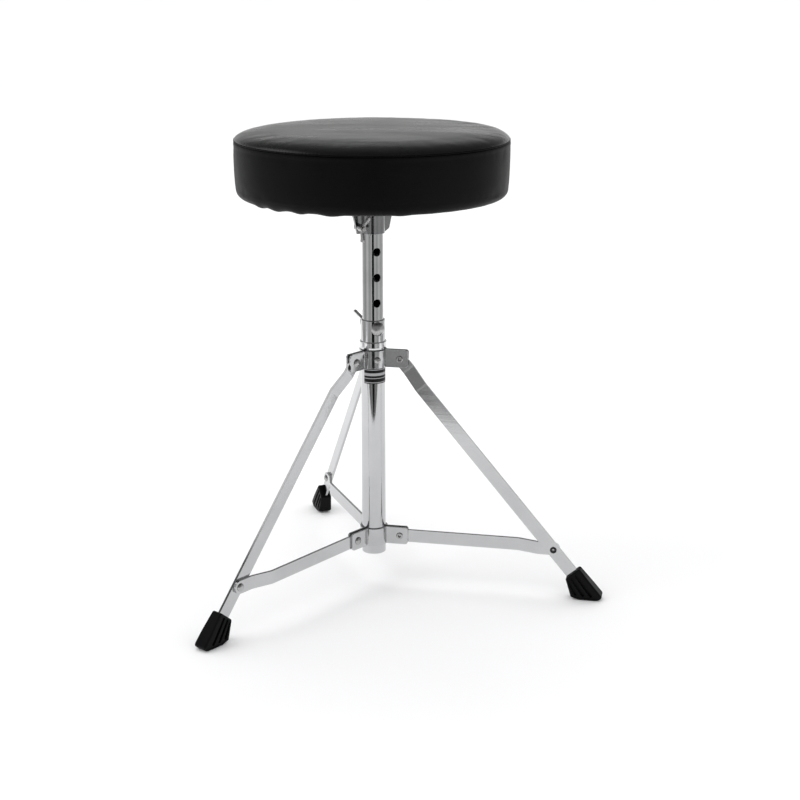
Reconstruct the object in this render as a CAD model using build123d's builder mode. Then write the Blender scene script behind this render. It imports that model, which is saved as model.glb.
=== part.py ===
from build123d import *
import os
from math import atan2, cos, degrees, hypot, pi, radians, sin

os.makedirs("parts", exist_ok=True)

# ---------------------------------------------------------------------------
# Drum throne: round seat on a pinned telescopic post, folding three-leg stand.
# Frame: +Z up, floor at z = 0, +X along leg 1. The tube axis stands at AXIS_X, so
# the origin is the middle of the space the open throne takes up on the floor.
# ---------------------------------------------------------------------------

AXIS_X = -60.2

# --- stand tube --------------------------------------------------------------
TUBE_R = 14.0
TUBE_BORE_R = 12.45
TUBE_BOTTOM = 37.5
TUBE_TOP = 320.0

# --- seat post ---------------------------------------------------------------
POST_R = 12.15
POST_BORE_R = 10.95
POST_TOP = 456.0
HOLE_PITCH = 29.4
HOLE_R = 4.8
BOLT_Z = 310.9
HOLES_EACH_WAY = 3
POST_BOTTOM = BOLT_Z - HOLES_EACH_WAY * HOLE_PITCH - 48.0
BOLT_AZ = -54.5
SCREW_AZ = -60.0

# --- leg linkage -------------------------------------------------------------
LEG_AZ = (0.0, 120.0, -120.0)
SEGMENT_AZ = (-60.0, 60.0, 180.0)
PIVOT_R = 31.7
TOP_PIVOT_Z = 274.6
RUNNER_PIVOT_Z = 58.95
FOOT_PIVOT_R = 214.2
FOOT_PIVOT_Z = 56.8
STRIP_W = 15.0
STRIP_T = 3.0
LEG_T = -7.0
STAY_END_T = -3.7
STAY_MID_T = 3.2
RIVET_R = 2.5
RIVET_HOLE_R = 2.56
HEAD_R = 4.6
HEAD_H = 2.0
TAIL_R = 3.9
TAIL_H = 1.3
TAIL_HOLE_R = 1.6
TAIL_DEPTH = 0.9

# --- brackets ----------------------------------------------------------------
SHEET = 2.0
BRACKET_H = 20.5
TOP_BRACKET_Z0 = 264.7
RUNNER_Z0 = 48.7
EAR_GAP = 1.7
EAR_END_R = 41.5
RUNNER_BORE_R = 14.3

# --- feet --------------------------------------------------------------------
FOOT_TOP_IN = (229.5, 24.1)
FOOT_TOP_OUT = (245.3, 37.4)
FOOT_TOE_HIGH = (273.2, 4.6)
FOOT_TOE_LOW = (268.2, 0.0)
FOOT_SOLE_IN = (246.0, 0.0)
FOOT_HEEL = (236.4, 2.6)
FOOT_CORNER = 2.6
FOOT_EDGE = 2.0
FOOT_TOE_ROUND = 5.0
FOOT_TOP_HALF = 6.6
FOOT_HALF = 8.8
LEG_IN_FOOT = 27.0
GRIP_W = 3.4
GRIP_FLOOR = 5.5
GRIPS = (((242.0, 29.6), (259.8, 5.9)), ((237.3, 25.4), (250.6, 6.0)), ((233.9, 21.2), (241.8, 6.9)))

# --- seat --------------------------------------------------------------------
SEAT_R = 152.8
SEAT_BOTTOM_R = 151.5
SEAT_BOTTOM = 462.4
SEAM_Z = 523.8
SEAT_RISE = 10.6
SEAT_CORNER = 8.8
VINYL = 1.3
LIP_R = 124.0
BOARD_R = 149.9
BOARD_T = 12.0

# --- seat clamp --------------------------------------------------------------
CLAMP_AZ = -50.0
CLAMP_BOTTOM = 419.6
CLAMP_SHEET = 1.5
CLAMP_CHANNEL_R = 12.45
CLAMP_BOLT_SIDE = -17.6
CLAMP_BOLT_Z = 427.0


def ray(az):
    return Vector(cos(radians(az)), sin(radians(az)), 0)


def side(az):
    return Vector(-sin(radians(az)), cos(radians(az)), 0)


def spot(az, r, t, z):
    return ray(az) * r + side(az) * t + Vector(AXIS_X, 0, z)


def flat(az, r, t):
    """The same point as spot, as x, y on a level plane centred on the tube."""
    v = ray(az) * r + side(az) * t
    return v.X, v.Y


def level(z):
    return Plane(origin=(AXIS_X, 0, z), x_dir=(1, 0, 0), z_dir=(0, 0, 1))


UPRIGHT = Plane(origin=(AXIS_X, 0, 0), x_dir=(1, 0, 0), z_dir=(0, -1, 0))
TURN_AXIS = Axis((AXIS_X, 0, 0), (0, 0, 1))


def slope(az, dr, dz):
    """Direction in the radial plane at az, from a run outward and a rise."""
    length = hypot(dr, dz)
    return ray(az) * (dr / length) + Vector(0, 0, dz / length)


def cap(x0, a, h):
    """Start, middle and end of the arc of a domed head: base radius a at x0, height h."""
    big = (a * a + h * h) / (2 * h)
    centre = x0 + h - big
    half = atan2(a, x0 - centre) / 2
    return (x0, a), (centre + big * cos(half), big * sin(half)), (x0 + h, 0.0)


THETA = atan2(FOOT_PIVOT_R - PIVOT_R, TOP_PIVOT_Z - FOOT_PIVOT_Z)
LEG_PIVOTS = hypot(FOOT_PIVOT_R - PIVOT_R, TOP_PIVOT_Z - FOOT_PIVOT_Z)
STAY_PIVOTS = hypot(FOOT_PIVOT_R - PIVOT_R, RUNNER_PIVOT_Z - FOOT_PIVOT_Z)
PSI = atan2(RUNNER_PIVOT_Z - FOOT_PIVOT_Z, FOOT_PIVOT_R - PIVOT_R)


def finish(part, name):
    part.label = name
    export_step(part, f"parts/{name}.step")


# ---------------------------------------------------------------------------
# Stand: tube, plug, collar, label, top bracket
# ---------------------------------------------------------------------------
BOLT_PLANE = Plane(origin=spot(0, 0, 0, BOLT_Z), x_dir=side(BOLT_AZ), z_dir=ray(BOLT_AZ))

with BuildPart() as base_tube:
    with BuildSketch(level(TUBE_BOTTOM)):
        Circle(TUBE_R)
        Circle(TUBE_BORE_R, mode=Mode.SUBTRACT)
    extrude(amount=TUBE_TOP - TUBE_BOTTOM)
    fillet(base_tube.edges().filter_by(GeomType.CIRCLE).group_by(Axis.Z)[-1], 0.5)
    fillet(base_tube.edges().filter_by(GeomType.CIRCLE).group_by(Axis.Z)[0], 0.5)
    with BuildSketch(BOLT_PLANE):
        Circle(4.2)
    extrude(amount=40, both=True, mode=Mode.SUBTRACT)
    with BuildSketch(Plane(origin=spot(0, 0, 0, TOP_BRACKET_Z0 + BRACKET_H / 2), x_dir=side(SCREW_AZ), z_dir=ray(SCREW_AZ))):
        Circle(1.7)
    extrude(amount=40, mode=Mode.SUBTRACT)
finish(base_tube.part, "base_tube")

with BuildPart() as tube_plug:
    with BuildSketch(level(TUBE_BOTTOM + 0.6)):
        Circle(TUBE_BORE_R)
    extrude(amount=14)
    with BuildSketch(level(TUBE_BOTTOM + 3.6)):
        Circle(TUBE_BORE_R - 2.0)
    extrude(amount=14, mode=Mode.SUBTRACT)
    fillet(tube_plug.edges().filter_by(GeomType.CIRCLE).group_by(Axis.Z)[0], 0.8)
finish(tube_plug.part, "tube_plug")

COLLAR_Z0 = TOP_BRACKET_Z0 + BRACKET_H + 0.2
with BuildPart() as stop_collar:
    with BuildSketch(UPRIGHT):
        with BuildLine():
            Polyline(
                (TUBE_R, COLLAR_Z0),
                (TUBE_R + 0.5, COLLAR_Z0),
                (TUBE_R + 1.2, COLLAR_Z0 + 1.2),
                (TUBE_R + 1.7, COLLAR_Z0 + 3.2),
                (TUBE_R + 1.7, COLLAR_Z0 + 9.1),
                (TUBE_R + 1.3, COLLAR_Z0 + 9.6),
                (TUBE_R, COLLAR_Z0 + 9.6),
                close=True,
            )
        make_face()
    revolve(axis=TURN_AXIS)
finish(stop_collar.part, "stop_collar")

with BuildPart() as label_band:
    with BuildSketch(level(246.5)):
        Circle(TUBE_R + 0.25)
        Circle(TUBE_R, mode=Mode.SUBTRACT)
        with BuildLine():
            reach = 40.0
            half = 64.0
            points = [(0, 0)] + [
                (reach * cos(radians(SCREW_AZ + a)), reach * sin(radians(SCREW_AZ + a)))
                for a in (-half, -half / 2, 0, half / 2, half)
            ]
            Polyline(*points, close=True)
        make_face(mode=Mode.INTERSECT)
    extrude(amount=17.8)
finish(label_band.part, "label_band")


def bracket_segment(name, az, bore_r, z0, screw_r=0.0):
    """One pressed third of a leg bracket: a curved web and an ear at each end."""
    with BuildPart() as seg:
        with BuildSketch(level(z0)):
            Circle(bore_r + SHEET)
            for leg_az, sign in ((az - 60, 1), (az + 60, -1)):
                with BuildLine():
                    t0, t1 = sign * EAR_GAP, sign * (EAR_GAP + SHEET)
                    Polyline(flat(leg_az, 0, t0), flat(leg_az, EAR_END_R, t0), flat(leg_az, EAR_END_R, t1), flat(leg_az, bore_r + 0.6, t1), close=True)
                make_face()
            # keep only this segment's third of the circle, clear of the leg gaps
            with BuildLine():
                Polyline(flat(az, EAR_GAP / sin(radians(60)), 0), flat(az - 60, 90, EAR_GAP), flat(az + 60, 90, -EAR_GAP), close=True)
            make_face(mode=Mode.INTERSECT)
            Circle(bore_r, mode=Mode.SUBTRACT)
        extrude(amount=BRACKET_H)
        ends = seg.edges().filter_by(lambda e: abs(e.length - SHEET) < 0.05 and hypot(e.center().X - AXIS_X, e.center().Y) > EAR_END_R - 1.0 and abs(e.tangent_at(0.5).Z) < 0.1)
        fillet(ends, 3.6)
        pivot_z = z0 + BRACKET_H / 2 + (TOP_PIVOT_Z - TOP_BRACKET_Z0 - BRACKET_H / 2 if z0 > 150 else RUNNER_PIVOT_Z - RUNNER_Z0 - BRACKET_H / 2)
        for leg_az in (az - 60, az + 60):
            with BuildSketch(Plane(origin=spot(leg_az, PIVOT_R, 0, pivot_z), x_dir=ray(leg_az), z_dir=side(leg_az))):
                Circle(RIVET_R)
            extrude(amount=6, both=True, mode=Mode.SUBTRACT)
        if screw_r:
            with BuildSketch(Plane(origin=spot(0, 0, 0, z0 + BRACKET_H / 2), x_dir=side(az), z_dir=ray(az))):
                Circle(screw_r)
            extrude(amount=40, mode=Mode.SUBTRACT)
    finish(seg.part, name)


for number, az in enumerate(SEGMENT_AZ, 1):
    bracket_segment(f"top_bracket_{number}", az, TUBE_R, TOP_BRACKET_Z0, 1.7 if number == 1 else 0.0)
    bracket_segment(f"runner_bracket_{number}", az, RUNNER_BORE_R, RUNNER_Z0)

with BuildPart() as bracket_screw:
    screw_z = TOP_BRACKET_Z0 + BRACKET_H / 2
    seat_r = TUBE_R + SHEET + 0.02
    with BuildSketch(Plane(origin=spot(0, 0, 0, screw_z), x_dir=ray(SCREW_AZ), z_dir=(0, 0, 1))):
        with BuildLine():
            dome = cap(seat_r + 0.5, 3.7, 1.8)
            Polyline((TUBE_BORE_R + 0.1, 0), (TUBE_BORE_R + 0.1, 1.7), (seat_r, 1.7), (seat_r, 3.7), dome[0])
            ThreePointArc(*dome)
            Line(dome[2], (TUBE_BORE_R + 0.1, 0))
        make_face()
    revolve(axis=Axis(origin=(AXIS_X, 0, screw_z), direction=ray(SCREW_AZ)))
    with BuildSketch(Plane(origin=spot(SCREW_AZ, seat_r + 1.0, 0, screw_z), x_dir=side(SCREW_AZ), z_dir=ray(SCREW_AZ))):
        Rectangle(3.4, 0.8)
        Rectangle(0.8, 3.4)
    extrude(amount=3, mode=Mode.SUBTRACT)
finish(bracket_screw.part, "bracket_screw")


def pivot_rivets(name, pivot_z):
    """Rivets through the ears of one bracket: domed heads one side, rolled tails the other."""
    outer = EAR_GAP + SHEET
    with BuildPart() as group:
        for az in LEG_AZ:
            centre = spot(az, PIVOT_R, 0, pivot_z)
            # x runs along the rivet's axis, tail to head
            with BuildSketch(Plane(origin=centre, x_dir=side(az), z_dir=(0, 0, 1))):
                with BuildLine():
                    dome = cap(outer + 0.5, HEAD_R, HEAD_H)
                    Polyline(
                        (TAIL_DEPTH - outer, 0),
                        (TAIL_DEPTH - outer, TAIL_HOLE_R),
                        (-outer - 0.7, TAIL_HOLE_R),
                        (-outer - TAIL_H, TAIL_HOLE_R + 0.5),
                        (-outer - TAIL_H, TAIL_R - 0.7),
                        (-outer - 0.5, TAIL_R),
                        (-outer, TAIL_R),
                        (-outer, RIVET_R),
                        (outer, RIVET_R),
                        (outer, HEAD_R),
                        dome[0],
                    )
                    ThreePointArc(*dome)
                    Line(dome[2], (TAIL_DEPTH - outer, 0))
                make_face()
            revolve(axis=Axis(origin=centre, direction=side(az)))
    finish(group.part, name)


pivot_rivets("top_rivets", TOP_PIVOT_Z)
pivot_rivets("runner_rivets", RUNNER_PIVOT_Z)

# ---------------------------------------------------------------------------
# Legs, stays, outer rivets and feet
# ---------------------------------------------------------------------------
FOOT_D = (sin(THETA), -cos(THETA))
LEG_END_S = (FOOT_TOP_IN[0] + FOOT_TOP_OUT[0]) / 2
LEG_TOP_S = (LEG_END_S - PIVOT_R) * sin(THETA) + (TOP_PIVOT_Z - (FOOT_TOP_IN[1] + FOOT_TOP_OUT[1]) / 2) * cos(THETA)
LEG_LENGTH = LEG_TOP_S + LEG_IN_FOOT
HALF_T = STRIP_T / 2

for number, az in enumerate(LEG_AZ, 1):
    top = spot(az, PIVOT_R, 0, TOP_PIVOT_Z)
    down = slope(az, sin(THETA), -cos(THETA))
    out = slope(az, cos(THETA), sin(THETA))
    with BuildPart() as leg:
        with BuildSketch(Plane(origin=top, x_dir=down, z_dir=out)) as edge_on:
            with BuildLine():
                Polyline(
                    (-STRIP_W, HALF_T),
                    (17, HALF_T),
                    (41, LEG_T + HALF_T),
                    (LEG_LENGTH, LEG_T + HALF_T),
                    (LEG_LENGTH, LEG_T - HALF_T),
                    (40.2, LEG_T - HALF_T),
                    (16.2, -HALF_T),
                    (-STRIP_W, -HALF_T),
                    close=True,
                )
            make_face()
            bends = edge_on.vertices().filter_by(lambda v: 10 < v.X < 60)
            fillet(bends, 14)
        extrude(amount=STRIP_W / 2, both=True)
        with BuildSketch(Plane(origin=top, x_dir=down, z_dir=side(az))):
            with Locations(((LEG_LENGTH - 2.0) / 2, 0)):
                SlotCenterToCenter(LEG_LENGTH - 2.0, STRIP_W)
        extrude(amount=20, both=True, mode=Mode.INTERSECT)
        for s in (0, LEG_PIVOTS):
            with BuildSketch(Plane(origin=top + down * s, x_dir=down, z_dir=side(az))):
                Circle(RIVET_HOLE_R if s == 0 else RIVET_R)
            extrude(amount=20, both=True, mode=Mode.SUBTRACT)
    finish(leg.part, f"leg_{number}")

    low = spot(az, PIVOT_R, 0, RUNNER_PIVOT_Z)
    along = slope(az, cos(PSI), -sin(PSI))
    up = slope(az, sin(PSI), cos(PSI))
    with BuildPart() as stay:
        with BuildSketch(Plane(origin=low, x_dir=along, z_dir=up)) as stay_edge:
            with BuildLine():
                Polyline(
                    (-STRIP_W, HALF_T),
                    (16, HALF_T),
                    (STAY_PIVOTS - 42, STAY_MID_T + HALF_T),
                    (STAY_PIVOTS - 18, STAY_END_T + HALF_T),
                    (STAY_PIVOTS + STRIP_W, STAY_END_T + HALF_T),
                    (STAY_PIVOTS + STRIP_W, STAY_END_T - HALF_T),
                    (STAY_PIVOTS - 18.8, STAY_END_T - HALF_T),
                    (STAY_PIVOTS - 42.8, STAY_MID_T - HALF_T),
                    (16, -HALF_T),
                    (-STRIP_W, -HALF_T),
                    close=True,
                )
            make_face()
            crooks = stay_edge.vertices().filter_by(lambda v: STAY_PIVOTS - 50 < v.X < STAY_PIVOTS - 10)
            fillet(crooks, 16)
        extrude(amount=STRIP_W / 2, both=True)
        with BuildSketch(Plane(origin=low, x_dir=along, z_dir=side(az))):
            with Locations((STAY_PIVOTS / 2, 0)):
                SlotCenterToCenter(STAY_PIVOTS, STRIP_W)
        extrude(amount=20, both=True, mode=Mode.INTERSECT)
        for s in (0, STAY_PIVOTS):
            with BuildSketch(Plane(origin=low + along * s, x_dir=along, z_dir=side(az))):
                Circle(RIVET_HOLE_R if s == 0 else RIVET_R)
            extrude(amount=20, both=True, mode=Mode.SUBTRACT)
    finish(stay.part, f"stay_{number}")

    # the outer rivet is in two halves, one set in each strip
    joint = spot(az, FOOT_PIVOT_R, 0, FOOT_PIVOT_Z)
    through = Plane(origin=joint, x_dir=side(az), z_dir=(0, 0, 1))
    leg_out = LEG_T - HALF_T
    with BuildPart() as rivet_tail:
        with BuildSketch(through):
            with BuildLine():
                Polyline(
                    (leg_out + STRIP_T, 0),
                    (leg_out + STRIP_T, RIVET_R),
                    (leg_out, RIVET_R),
                    (leg_out, TAIL_R),
                    (leg_out - 0.5, TAIL_R),
                    (leg_out - TAIL_H, TAIL_R - 0.7),
                    (leg_out - TAIL_H, TAIL_HOLE_R + 0.5),
                    (leg_out - 0.7, TAIL_HOLE_R),
                    (leg_out + TAIL_DEPTH, TAIL_HOLE_R),
                    (leg_out + TAIL_DEPTH, 0),
                    close=True,
                )
            make_face()
        revolve(axis=Axis(origin=joint, direction=side(az)))
    finish(rivet_tail.part, f"rivet_tail_{number}")

    stay_out = STAY_END_T + HALF_T
    with BuildPart() as rivet_head:
        with BuildSketch(through):
            with BuildLine():
                dome = cap(stay_out + 0.5, HEAD_R, HEAD_H)
                Polyline((stay_out - STRIP_T, 0), (stay_out - STRIP_T, RIVET_R), (stay_out, RIVET_R), (stay_out, HEAD_R), dome[0])
                ThreePointArc(*dome)
                Line(dome[2], (stay_out - STRIP_T, 0))
            make_face()
        revolve(axis=Axis(origin=joint, direction=side(az)))
    finish(rivet_head.part, f"rivet_head_{number}")

    foot_mid = spot(az, 0, LEG_T, 0)
    with BuildPart() as foot:
        with BuildSketch(Plane(origin=foot_mid, x_dir=ray(az), z_dir=-side(az))) as outline:
            with BuildLine():
                Polyline(FOOT_TOP_IN, FOOT_TOP_OUT, FOOT_TOE_HIGH, FOOT_TOE_LOW, FOOT_SOLE_IN, FOOT_HEEL, close=True)
            make_face()
            fillet(outline.vertices(), FOOT_CORNER)
        extrude(amount=14, both=True)
        mouth = top + down * LEG_TOP_S + side(az) * LEG_T
        with BuildSketch(Plane(origin=mouth, x_dir=down, z_dir=out)) as flanks:
            with BuildLine():
                Polyline(
                    (-3, -FOOT_TOP_HALF),
                    (26, -FOOT_HALF),
                    (44.6, -FOOT_HALF),
                    (44.6, FOOT_HALF),
                    (26, FOOT_HALF),
                    (-3, FOOT_TOP_HALF),
                    close=True,
                )
            make_face()
            fillet(flanks.vertices().filter_by(lambda v: 20 < v.X < 40), 200)
            fillet(flanks.vertices().filter_by(lambda v: v.X > 44), FOOT_TOE_ROUND)
        extrude(amount=60, both=True, mode=Mode.INTERSECT)
        fillet(foot.edges().filter_by(lambda e: abs(e.tangent_at(0.5).dot(side(az))) < 0.5), FOOT_EDGE)
        # pocket that takes the end of the leg
        with BuildSketch(Plane(origin=mouth - down * 3, x_dir=side(az), z_dir=down)):
            Rectangle(STRIP_T, STRIP_W)
        extrude(amount=LEG_IN_FOOT + 3.3, mode=Mode.SUBTRACT)
        for flank in (-1, 1):
            # three gripping grooves down each flank, on its inner half
            for (r0, z0), (r1, z1) in GRIPS:
                middle = spot(az, (r0 + r1) / 2, LEG_T + flank * GRIP_FLOOR, (z0 + z1) / 2)
                with BuildSketch(Plane(origin=middle, x_dir=slope(az, r1 - r0, z1 - z0), z_dir=side(az) * flank)):
                    SlotCenterToCenter(hypot(r1 - r0, z1 - z0), GRIP_W)
                extrude(amount=8.0, mode=Mode.SUBTRACT)
            # a fine line that sets off the sole
            for (r0, z0), (r1, z1) in (((247.0, 3.0), (267.0, 3.0)), ((240.4, 4.6), (247.0, 3.0))):
                middle = spot(az, (r0 + r1) / 2, LEG_T + flank * (FOOT_HALF - 0.6), (z0 + z1) / 2)
                with BuildSketch(Plane(origin=middle, x_dir=slope(az, r1 - r0, z1 - z0), z_dir=side(az) * flank)):
                    SlotCenterToCenter(hypot(r1 - r0, z1 - z0), 0.9)
                extrude(amount=8.0, mode=Mode.SUBTRACT)
    finish(foot.part, f"foot_{number}")

# ---------------------------------------------------------------------------
# Post, height bolt and wing nut
# ---------------------------------------------------------------------------
with BuildPart() as seat_post:
    with BuildSketch(level(POST_BOTTOM)):
        Circle(POST_R)
        Circle(POST_BORE_R, mode=Mode.SUBTRACT)
    extrude(amount=POST_TOP - POST_BOTTOM)
    for k in range(-HOLES_EACH_WAY, HOLES_EACH_WAY + 1):
        with BuildSketch(Plane(origin=spot(0, 0, 0, BOLT_Z + k * HOLE_PITCH), x_dir=side(BOLT_AZ), z_dir=ray(BOLT_AZ))):
            Circle(HOLE_R)
        extrude(amount=30, both=True, mode=Mode.SUBTRACT)
finish(seat_post.part, "seat_post")

BOLT_R = 3.9
with BuildPart() as height_bolt:
    with BuildSketch(Plane(origin=spot(0, 0, 0, BOLT_Z), x_dir=ray(BOLT_AZ), z_dir=(0, 0, 1))):
        with BuildLine():
            dome = cap(TUBE_R + 1.2, 8.0, 4.0)
            Polyline(
                (-31.0, 0),
                (-31.0, BOLT_R - 0.8),
                (-30.2, BOLT_R),
                (TUBE_R + 0.3, BOLT_R),
                (TUBE_R + 0.3, 7.7),
                (TUBE_R + 0.6, 8.0),
                dome[0],
            )
            ThreePointArc(*dome)
            Line(dome[2], (-31.0, 0))
        make_face()
    revolve(axis=Axis(origin=(AXIS_X, 0, BOLT_Z), direction=ray(BOLT_AZ)))
finish(height_bolt.part, "height_bolt")


def wing_nut(name, plane, bore_r, base, hub, wing, blade_t, turn):
    """Wing nut seated on the plane, its axis along the plane's normal.

    base and hub are (radius, height); wing is the outline of one wing, out and up.
    """
    with BuildPart() as nut:
        with BuildSketch(plane):
            Circle(base[0])
        extrude(amount=base[1])
        with BuildSketch(plane.offset(base[1])):
            Circle(hub[0])
        extrude(amount=hub[1], taper=5)
        for quarter in (turn, turn + 180):
            out = plane.x_dir * cos(radians(quarter)) + plane.y_dir * sin(radians(quarter))
            across = plane.z_dir.cross(out)
            # on this plane y runs against the nut's axis
            with BuildSketch(Plane(origin=plane.origin - across * (blade_t / 2), x_dir=out, z_dir=across)):
                with BuildLine():
                    Polyline(*[(x, -y) for x, y in wing], close=True)
                blade = make_face()
                tips = blade.vertices().filter_by(lambda v: v.X > hub[0] + 3)
                fillet(tips, 1.6)
            extrude(amount=blade_t)
        with BuildSketch(plane.offset(-1)):
            Circle(bore_r)
        extrude(amount=60, mode=Mode.SUBTRACT)
    finish(nut.part, name)


NUT_PLANE = Plane(origin=spot(BOLT_AZ, -(TUBE_R + 0.05), 0, BOLT_Z), x_dir=side(BOLT_AZ), z_dir=-ray(BOLT_AZ))
HEIGHT_WING = ((4.6, 3.0), (7.4, 4.2), (12.4, 7.2), (18.2, 10.8), (17.8, 17.0), (12.2, 16.2), (7.0, 9.4), (4.6, 9.4))
wing_nut("height_wing_nut", NUT_PLANE, BOLT_R + 0.06, (7.4, 1.6), (7.0, 8.2), HEIGHT_WING, 3.0, 52.0)

# ---------------------------------------------------------------------------
# Seat clamp: two pressed halves, bolt, washer, wing nut
# ---------------------------------------------------------------------------
CLAMP_TOP = SEAT_BOTTOM + VINYL + 0.1


def clamp_half(name, az, bevel_side):
    """One half: flared flanges in the joint plane, a half-round channel, a foot plate on top."""
    z0, z1 = CLAMP_BOTTOM, CLAMP_TOP
    flare = [(19.8, z0), (21.1, z0 + 6.0), (22.7, z0 + 13.0), (25.6, z0 + 22.0), (31.5, z0 + 32.0), (40.0, z1)]
    with BuildPart() as half:
        with BuildSketch(Plane(origin=spot(az, 0, 0, 0), x_dir=side(az), z_dir=ray(az))):
            with BuildLine():
                Line((-19.8, z0), (19.8, z0))
                Spline(*flare, tangents=[(0.15, 1), (0.9, 0.6)])
                Line((40.0, z1), (-40.0, z1))
                Spline(*[(-x, z) for x, z in flare], tangents=[(-0.15, 1), (-0.9, 0.6)])
            make_face()
            # one lower corner is cut off at a slant
            with BuildLine():
                Polyline((bevel_side * 13.8, z0 - 1.0), (bevel_side * 26.0, z0 - 1.0), (bevel_side * 26.0, z0 + 7.5), close=True)
            make_face(mode=Mode.SUBTRACT)
        extrude(amount=CLAMP_SHEET)
        # the channel round the post
        with BuildSketch(level(z0)):
            with BuildLine():
                wide = CLAMP_CHANNEL_R + CLAMP_SHEET
                ThreePointArc(flat(az, 0, -wide), flat(az, wide, 0), flat(az, 0, wide))
                Line(flat(az, 0, wide), flat(az, 0, -wide))
            make_face()
        extrude(amount=z1 - z0)
        with BuildSketch(level(z0 - 1)):
            Circle(CLAMP_CHANNEL_R)
        extrude(amount=z1 - z0 + 4, mode=Mode.SUBTRACT)
        # foot plate screwed to the board
        with BuildSketch(Plane(origin=spot(az, 0, 0, z1 - CLAMP_SHEET), x_dir=side(az), z_dir=(0, 0, 1))):
            # on this plane y points inwards, away from the half's own side
            with Locations((0, -19.0)):
                RectangleRounded(80.0, 38.0, 4.0)
            Circle(CLAMP_CHANNEL_R, mode=Mode.SUBTRACT)
            with Locations((-28.0, -27.0), (28.0, -27.0)):
                Circle(2.6, mode=Mode.SUBTRACT)
        extrude(amount=CLAMP_SHEET)
        with BuildSketch(Plane(origin=spot(az, 0, -bevel_side * abs(CLAMP_BOLT_SIDE), CLAMP_BOLT_Z), x_dir=side(az), z_dir=ray(az))):
            Circle(2.46)
        extrude(amount=10, both=True, mode=Mode.SUBTRACT)
    finish(half.part, name)


clamp_half("seat_clamp_front", CLAMP_AZ, 1)
clamp_half("seat_clamp_rear", CLAMP_AZ + 180.0, -1)

CLAMP_BOLT_PLANE = Plane(origin=spot(CLAMP_AZ, 0, CLAMP_BOLT_SIDE, CLAMP_BOLT_Z), x_dir=side(CLAMP_AZ), z_dir=ray(CLAMP_AZ))
with BuildPart() as clamp_bolt:
    with BuildSketch(CLAMP_BOLT_PLANE.offset(-CLAMP_SHEET - 3.4)):
        RegularPolygon(3.9, 6, rotation=30)
    extrude(amount=3.35)
    with BuildSketch(CLAMP_BOLT_PLANE.offset(-CLAMP_SHEET - 0.1)):
        Circle(2.44)
    extrude(amount=CLAMP_SHEET + 14.6)
    chamfer(clamp_bolt.edges().filter_by(GeomType.CIRCLE).sort_by(Axis(origin=(0, 0, CLAMP_BOLT_Z), direction=ray(CLAMP_AZ)))[-1], 0.5)
finish(clamp_bolt.part, "clamp_bolt")

CLAMP_WING = ((2.7, 6.4), (6.4, 8.4), (9.0, 10.6), (12.0, 12.2), (14.6, 12.8), (14.8, 18.0), (11.2, 18.0), (4.0, 11.6), (2.7, 11.6))
wing_nut("clamp_wing_nut", CLAMP_BOLT_PLANE.offset(CLAMP_SHEET + 0.05), 2.5, (3.5, 3.6), (4.2, 7.4), CLAMP_WING, 2.4, 73.0)

# ---------------------------------------------------------------------------
# Seat: board, fixings, foam, cover
# ---------------------------------------------------------------------------
BOARD_Z0 = SEAT_BOTTOM + VINYL + 0.1
SCREW_SPOTS = [flat(CLAMP_AZ + flip, 27.0, across) for flip in (0, 180) for across in (-28.0, 28.0)]

with BuildPart() as seat_board:
    with BuildSketch(level(BOARD_Z0)):
        Circle(BOARD_R)
    extrude(amount=BOARD_T)
    chamfer(seat_board.edges().group_by(Axis.Z)[-1], 1.0)
    fillet(seat_board.edges().group_by(Axis.Z)[0], 6.8)
    with BuildSketch(level(BOARD_Z0)):
        with Locations(*SCREW_SPOTS):
            Circle(3.4)
    extrude(amount=BOARD_T, mode=Mode.SUBTRACT)
    with BuildSketch(level(BOARD_Z0 + BOARD_T - 1.5)):
        with Locations(*SCREW_SPOTS):
            Circle(9.2)
    extrude(amount=1.5, mode=Mode.SUBTRACT)
finish(seat_board.part, "seat_board")

with BuildPart() as t_nuts:
    with BuildSketch(level(BOARD_Z0 + BOARD_T - 1.5)):
        with Locations(*SCREW_SPOTS):
            Circle(9.0)
    extrude(amount=1.4)
    with BuildSketch(level(BOARD_Z0 + 2.5)):
        with Locations(*SCREW_SPOTS):
            Circle(3.35)
    extrude(amount=BOARD_T - 4.0)
    with BuildSketch(level(BOARD_Z0)):
        with Locations(*SCREW_SPOTS):
            Circle(2.55)
    extrude(amount=BOARD_T + 2, mode=Mode.SUBTRACT)
finish(t_nuts.part, "t_nuts")

PLATE_UNDER = CLAMP_TOP - CLAMP_SHEET
with BuildPart() as board_screws:
    with BuildSketch(level(PLATE_UNDER)):
        with Locations(*SCREW_SPOTS):
            Circle(2.5)
    extrude(amount=BOARD_Z0 + BOARD_T - 2.0 - PLATE_UNDER)
    with BuildSketch(level(PLATE_UNDER - 3.0)):
        with Locations(*SCREW_SPOTS):
            Circle(4.8)
    extrude(amount=3.0)
    fillet(board_screws.edges().filter_by(GeomType.CIRCLE).group_by(Axis.Z)[0], 2.2)
    with BuildSketch(level(PLATE_UNDER - 3.2)):
        with Locations(*SCREW_SPOTS):
            Rectangle(4.6, 1.0)
            Rectangle(1.0, 4.6)
    extrude(amount=1.9, mode=Mode.SUBTRACT)
finish(board_screws.part, "board_screws")

def rim(inset):
    """Top profile of the seat moved inwards: centre, edge of the flat, controls, seam."""
    centre = (0.0, SEAM_Z + SEAT_RISE - inset)
    flat = (128.0, SEAM_Z + SEAT_RISE - 0.9 - inset)
    c1 = (143.0 - 0.4 * inset, SEAM_Z + SEAT_RISE - 1.4 - inset)
    c2 = (SEAT_R - 0.3 - 0.95 * inset, SEAM_Z + SEAT_RISE * 0.78 - 0.8 * inset)
    seam = (SEAT_R - inset, SEAM_Z)
    return centre, flat, c1, c2, seam


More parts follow.
